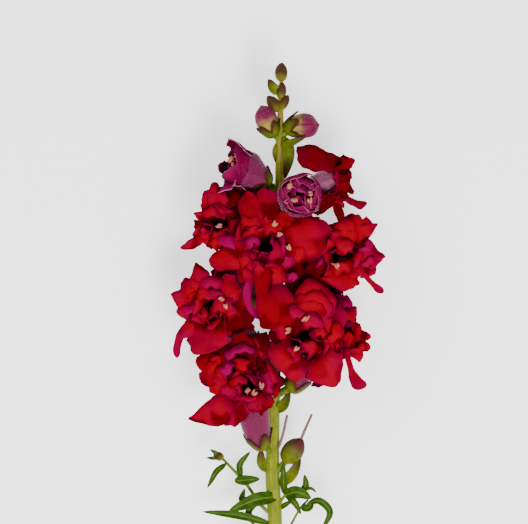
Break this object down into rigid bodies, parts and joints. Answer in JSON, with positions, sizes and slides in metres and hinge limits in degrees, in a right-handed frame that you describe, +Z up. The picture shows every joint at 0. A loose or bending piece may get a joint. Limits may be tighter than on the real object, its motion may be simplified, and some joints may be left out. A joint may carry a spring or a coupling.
{
  "type": "cut snapdragon stem",
  "caption": "Cut stem of a double red snapdragon lying on its side, with ruffled flowers pressed close together, mauve buds towards the tip and narrow leaves below.",
  "frame": {"origin": "on the surface that the stem lies on, under the middle of the whole plant's outline", "axes": "+Y along the stem, from the cut end to the tip; +Z up from the surface; +X to the right seen from above with the tip away from the viewer"},
  "size_m": [0.0987, 0.3004, 0.0598],
  "materials": {
    "stem_green": "satin",
    "petal_red": "matte",
    "bud_mauve": "matte"
  },
  "bodies": {
    "root": {"leafy_stem": "stem_green", "flower_lower_left": "petal_red", "flower_lower_right": "petal_red", "flower_left": "petal_red", "flower_middle": "petal_red", "flower_right": "petal_red", "flower_upper_left": "petal_red", "flower_upper_right": "petal_red", "flower_far_right": "petal_red", "flower_under_1": "petal_red", "flower_under_2": "petal_red", "flower_under_3": "petal_red", "flower_under_4": "petal_red", "flower_under_5": "petal_red", "opening_bud_left": "bud_mauve", "opening_bud_front": "bud_mauve", "closed_bud_right": "bud_mauve", "closed_bud_left": "bud_mauve"}
  },
  "joints": []
}
